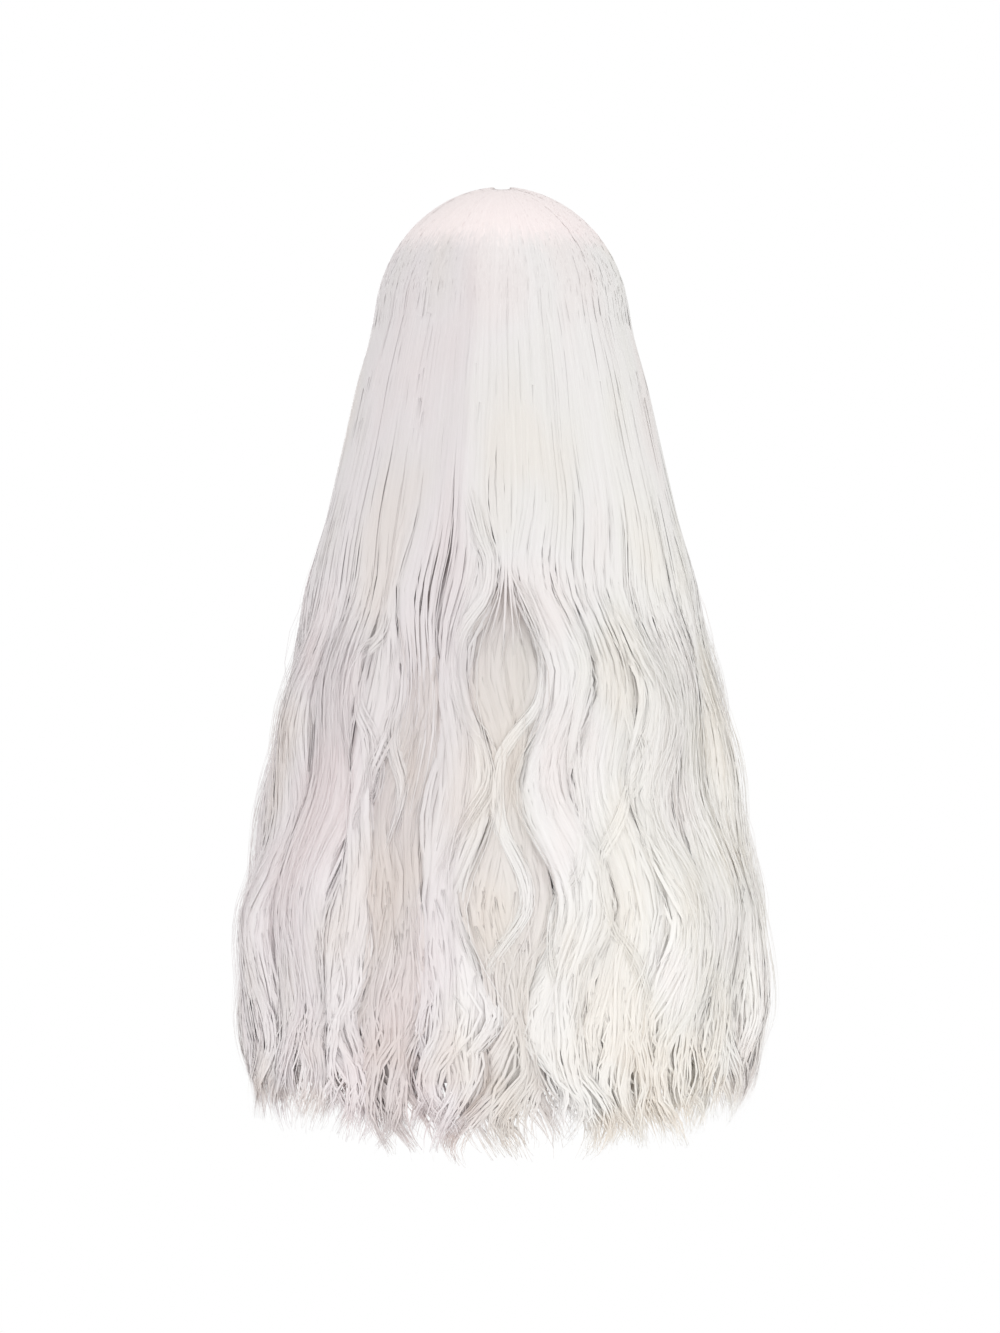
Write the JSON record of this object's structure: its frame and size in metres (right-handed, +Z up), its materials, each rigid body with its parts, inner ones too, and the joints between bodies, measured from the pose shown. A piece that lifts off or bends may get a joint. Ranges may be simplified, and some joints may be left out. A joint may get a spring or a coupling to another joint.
{
  "type": "long wavy wig",
  "caption": "Long pale wavy wig with a centre parting, held in its worn form: a thin hollow cap, smooth hair over the crown and wavy locks all round but the face.",
  "frame": {"origin": "where the crown of the wearer's head meets the inside of the cap, at the middle of its top", "axes": "+Z up, from the tips to the crown; +Y the way the wearer faces, so the pictured back of the wig is at -Y; +X the wearer's right as seen from behind"},
  "size_m": [0.3894, 0.244, 0.6961],
  "materials": {
    "hair": "soft sheen synthetic hair fibre",
    "cap_net": "matt elastic net",
    "parting_skin": "matt skin-toned mesh"
  },
  "bodies": {
    "root": {"cap_left": "cap_net", "cap_back": "cap_net", "cap_right": "cap_net", "parting_strip": "parting_skin", "crown_hair_left": "hair", "crown_hair_back": "hair", "crown_hair_right": "hair", "nape_hair": "hair", "lock_front_left_2": "hair", "lock_front_left_1": "hair", "lock_side_left_3": "hair", "lock_side_left_2": "hair", "lock_side_left_1": "hair", "lock_back_left_3": "hair", "lock_back_left_2": "hair", "lock_back_left_1": "hair", "lock_back_centre": "hair", "lock_back_right_1": "hair", "lock_back_right_2": "hair", "lock_back_right_3": "hair", "lock_side_right_1": "hair", "lock_side_right_2": "hair", "lock_side_right_3": "hair", "lock_front_right_1": "hair", "lock_front_right_2": "hair"}
  },
  "joints": []
}
